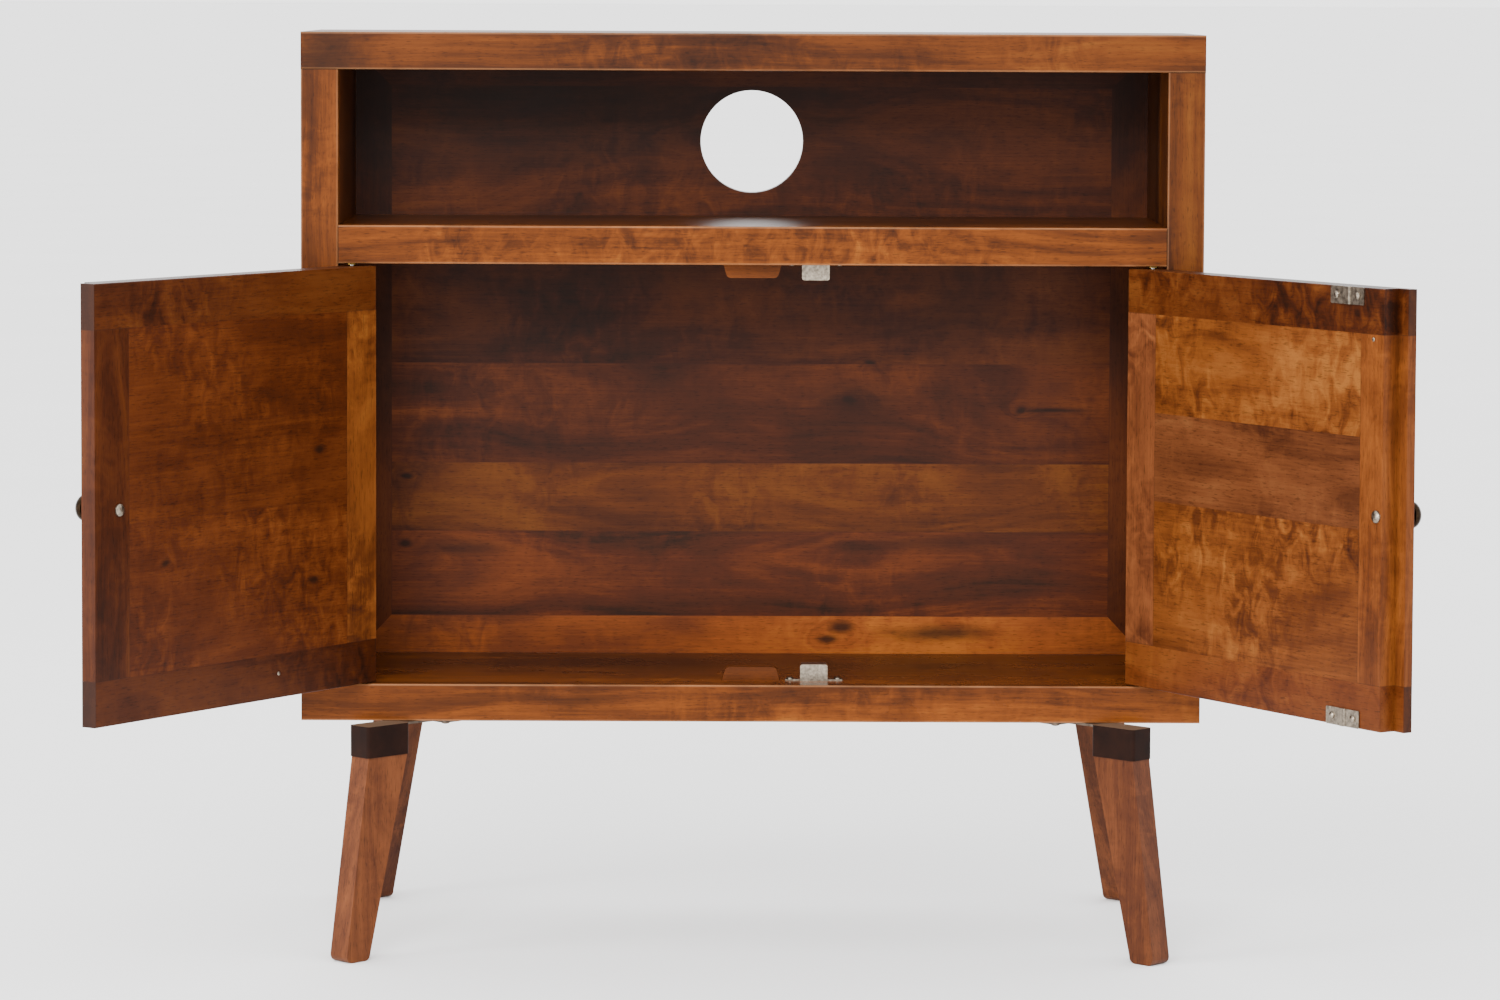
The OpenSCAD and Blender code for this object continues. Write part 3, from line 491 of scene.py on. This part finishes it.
def black_sleeve_paint():
    """Stoved paint on the steel sleeves: brown-black with a faint orange peel; every upward face is
    painted pale, as bare metal and as a painted highlight of light from above.
    """
    material, tree, shader = new_material("brown_black_stoved_paint")
    place = add(tree, "ShaderNodeTexCoord").outputs["Object"]
    peel = add(tree, "ShaderNodeTexNoise", {
        "Vector": place, "Scale": 1 / (1.6 * MM), "Detail": 2.0, "Roughness": 0.5})
    patch = add(tree, "ShaderNodeTexNoise", {
        "Vector": place, "Scale": 1 / (18 * MM), "Detail": 3.0, "Roughness": 0.6})
    ramp = add(tree, "ShaderNodeValToRGB", {"Fac": patch.outputs["Fac"]})
    colour = set_stops(ramp, [(0.3, hex_colour("#130805")), (0.7, hex_colour("#1F0F09"))])
    drift = add(tree, "ShaderNodeMapRange", {
        "Value": patch.outputs["Fac"], "To Min": 0.5, "To Max": 0.65})
    bump = add(tree, "ShaderNodeBump", {
        "Strength": 0.2, "Distance": 0.05 * MM, "Height": peel.outputs["Fac"]})
    shader.inputs["Specular IOR Level"].default_value = 0.05
    # Upward faces are painted pale: bare metal on the tops, with a painted highlight of the light from
    # above
    facing = add(tree, "ShaderNodeNewGeometry").outputs["True Normal"]
    upward = add(tree, "ShaderNodeSeparateXYZ", {"Vector": facing}).outputs["Z"]
    lit_and_bare_tops = add(tree, "ShaderNodeMath", {0: upward, 1: 0.7}, operation="GREATER_THAN").outputs["Value"]
    colour = add(tree, "ShaderNodeMix", {0: lit_and_bare_tops, 6: colour, 7: hex_colour("#5E4A3A")},
                 data_type="RGBA").outputs[2]
    tree.links.new(colour, shader.inputs["Base Color"])
    tree.links.new(drift.outputs["Result"], shader.inputs["Roughness"])
    tree.links.new(bump.outputs["Normal"], shader.inputs["Normal"])
    return material


def finish_metals():
    """Nickel, bronze, steel, brass, ferrite and zinc fittings, and the painted sleeves."""
    nickel = plated_metal("bright_nickel_plate", ("#5C544A", "#9A8E7E"), 0.3, 3.0)
    for node in ("catch_cases", "catch_screws", "left_knob_screw", "right_knob_screw",
                 "strike_plates", "strike_screws", "left_panel_pin", "right_panel_pin"):
        dress(node, nickel)
    bronze = plated_metal("antique_bronze_rubbed_at_the_rim", ("#0F0A07", "#33261A"), 0.3, 4.0, 0.05)
    for node in ("left_knob", "right_knob"):
        dress(node, bronze)
    steel = plated_metal("ground_steel_pin", ("#8A8883", "#B4B1AA"), 0.3, 2.0)
    for node in ("left_pivot_pins", "right_pivot_pins"):
        dress(node, steel)
    dress("pivot_bushes", plated_metal("turned_brass", ("#4A3918", "#6B5428"), 0.3, 2.0))
    dress("catch_magnets", plated_metal(
        "black_ferrite_between_steel_cheeks", ("#1B1A1A", "#4B4845"), 0.5, 2.5))
    zinc = plated_metal("dull_zinc_plate", ("#4A4038", "#6E6054"), 0.5, 6.0)
    for node in ("leg_plates", "leg_plate_screws"):
        dress(node, zinc)
    paint = black_sleeve_paint()
    for node in ("front_left_sleeve", "front_right_sleeve", "back_left_sleeve", "back_right_sleeve"):
        dress(node, paint)


# ---------------------------------------------------------------- floor, light and camera

FLOOR_REACH = 300.0


def pale_floor():
    """A wide matt white studio floor at the feet."""
    mesh = bpy.data.meshes.new("studio_floor")
    shape = bmesh.new()
    corners = [shape.verts.new((x * FLOOR_REACH, y * FLOOR_REACH, 0)) for x, y in
               ((-1, -1), (1, -1), (1, 1), (-1, 1))]
    shape.faces.new(corners)
    shape.to_mesh(mesh)
    shape.free()
    floor = bpy.data.objects.new("studio_floor", mesh)
    bpy.context.scene.collection.objects.link(floor)
    material, tree, shader = new_material("matt_white_studio_floor")
    place = add(tree, "ShaderNodeTexCoord").outputs["Object"]
    dust = add(tree, "ShaderNodeTexNoise", {"Vector": place, "Scale": 2.0, "Detail": 2.0})
    ramp = add(tree, "ShaderNodeValToRGB", {"Fac": dust.outputs["Fac"]})
    tree.links.new(set_stops(ramp, [(0.3, grey(0.88)), (0.7, grey(0.90))]), shader.inputs["Base Color"])
    shader.inputs["Roughness"].default_value = 0.9
    mesh.materials.append(material)


def soft_light(name, place, target, size, power):
    """A rectangular soft box aimed at a point."""
    data = bpy.data.lights.new(name, "AREA")
    data.shape = "RECTANGLE"
    data.size = size[0]
    data.size_y = size[1]
    data.energy = power
    lamp = bpy.data.objects.new(name, data)
    lamp.location = place
    aim = Vector(target) - Vector(place)
    lamp.rotation_euler = aim.to_track_quat("-Z", "Y").to_euler()
    bpy.context.scene.collection.objects.link(lamp)


def studio_light():
    """White surroundings, a large soft box over the front and a weaker one at the left."""
    world = bpy.data.worlds.new("white_studio")
    world.use_nodes = True
    background = world.node_tree.nodes["Background"]
    background.inputs["Color"].default_value = (1, 1, 1, 1)
    background.inputs["Strength"].default_value = 2.8
    bpy.context.scene.world = world
    soft_light("front_soft_box", (-0.6, -3.4, 2.0), (0, 0, 0.45), (1.8, 1.0), 140)
    soft_light("left_soft_box", (-3.2, -1.9, 0.9), (0.1, 0, 0.35), (1.2, 1.6), 95)


def camera():
    """A long lens in front of the stand, level with its top and a little left of its middle."""
    data = bpy.data.cameras.new("camera")
    data.sensor_width = 36.0
    data.lens = 125.8
    data.shift_y = -0.106
    data.clip_end = 1000
    view = bpy.data.objects.new("camera", data)
    view.location = (-0.0247, -4.3456, 0.8048)
    turn = Matrix.Rotation(math.radians(-0.30), 4, "Z")
    tilt = Matrix.Rotation(math.radians(90 - 3.83), 4, "X")
    roll = Matrix.Rotation(math.radians(0.25), 4, "Z")
    view.rotation_euler = (turn @ tilt @ roll).to_euler()
    bpy.context.scene.collection.objects.link(view)
    bpy.context.scene.camera = view


finish_carcass()
finish_back()
finish_left_door()
finish_right_door()
finish_legs()
finish_metals()
pale_floor()
studio_light()
camera()
